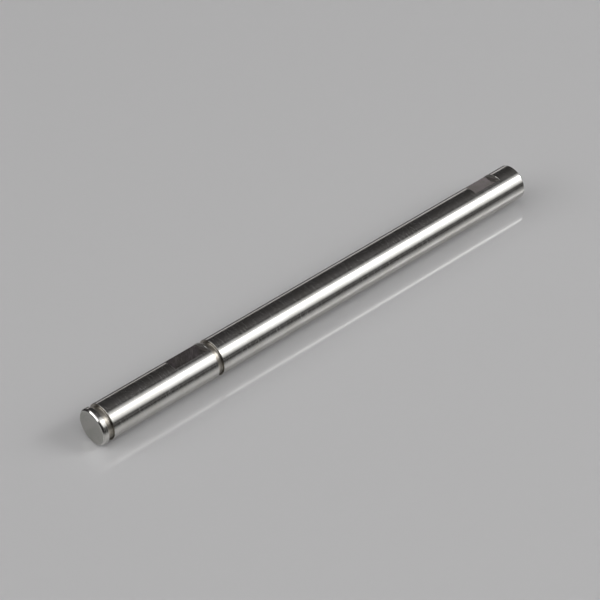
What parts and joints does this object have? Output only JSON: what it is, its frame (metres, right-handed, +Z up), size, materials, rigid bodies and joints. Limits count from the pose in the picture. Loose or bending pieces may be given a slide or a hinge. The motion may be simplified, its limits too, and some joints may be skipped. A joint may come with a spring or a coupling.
{
  "type": "stepped shaft",
  "caption": "Straight ground steel shaft with a short head, ring grooves and milled set-screw flats, for carrying a rotor or gear in bearings.",
  "frame": {"origin": "centre of the front end face, on the shaft's axis", "axes": "+X along the axis from the front end to the rear end, +Z up as the shaft lies, with its flats upwards"},
  "size_m": [0.073, 0.005, 0.005],
  "materials": {
    "ground_steel": "centreless ground, with turned grooves and milled flats"
  },
  "bodies": {
    "root": {"shaft": "ground_steel"}
  },
  "joints": []
}
